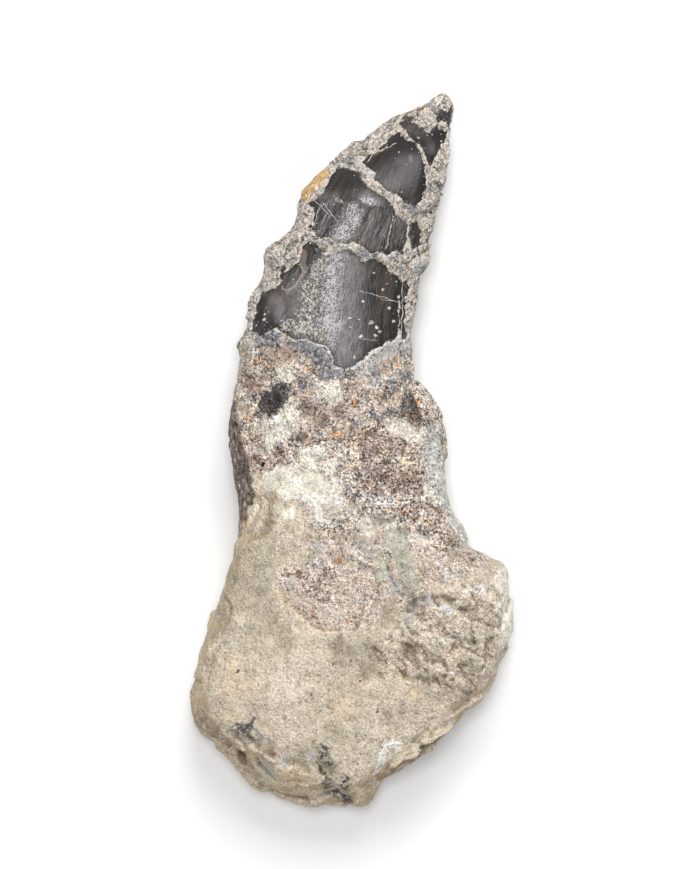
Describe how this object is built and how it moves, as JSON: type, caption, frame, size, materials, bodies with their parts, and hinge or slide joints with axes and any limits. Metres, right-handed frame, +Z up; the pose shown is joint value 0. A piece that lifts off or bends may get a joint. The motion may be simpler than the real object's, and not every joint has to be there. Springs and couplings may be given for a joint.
{
  "type": "fossil theropod tooth",
  "caption": "Curved flat-sided meat-eater's tooth with dark enamel and rock crust on its crown, its root held in a broken siltstone block, lying on its back.",
  "frame": {"origin": "bottom centre of the specimen's bounding box, on the surface it lies on", "axes": "+Y along the tooth towards its tip, +Z up, towards the better side, +X towards the concave edge of the crown"},
  "size_m": [0.0642, 0.1426, 0.0253],
  "materials": {
    "tooth": "near-black enamel with fine lengthwise striations, satin gloss, under a grey-tan granular crust",
    "matrix": "matt olive-beige siltstone, fine-grained, with sandy rust-speckled patches"
  },
  "bodies": {
    "root": {"tooth": "tooth", "matrix": "matrix"}
  },
  "joints": []
}
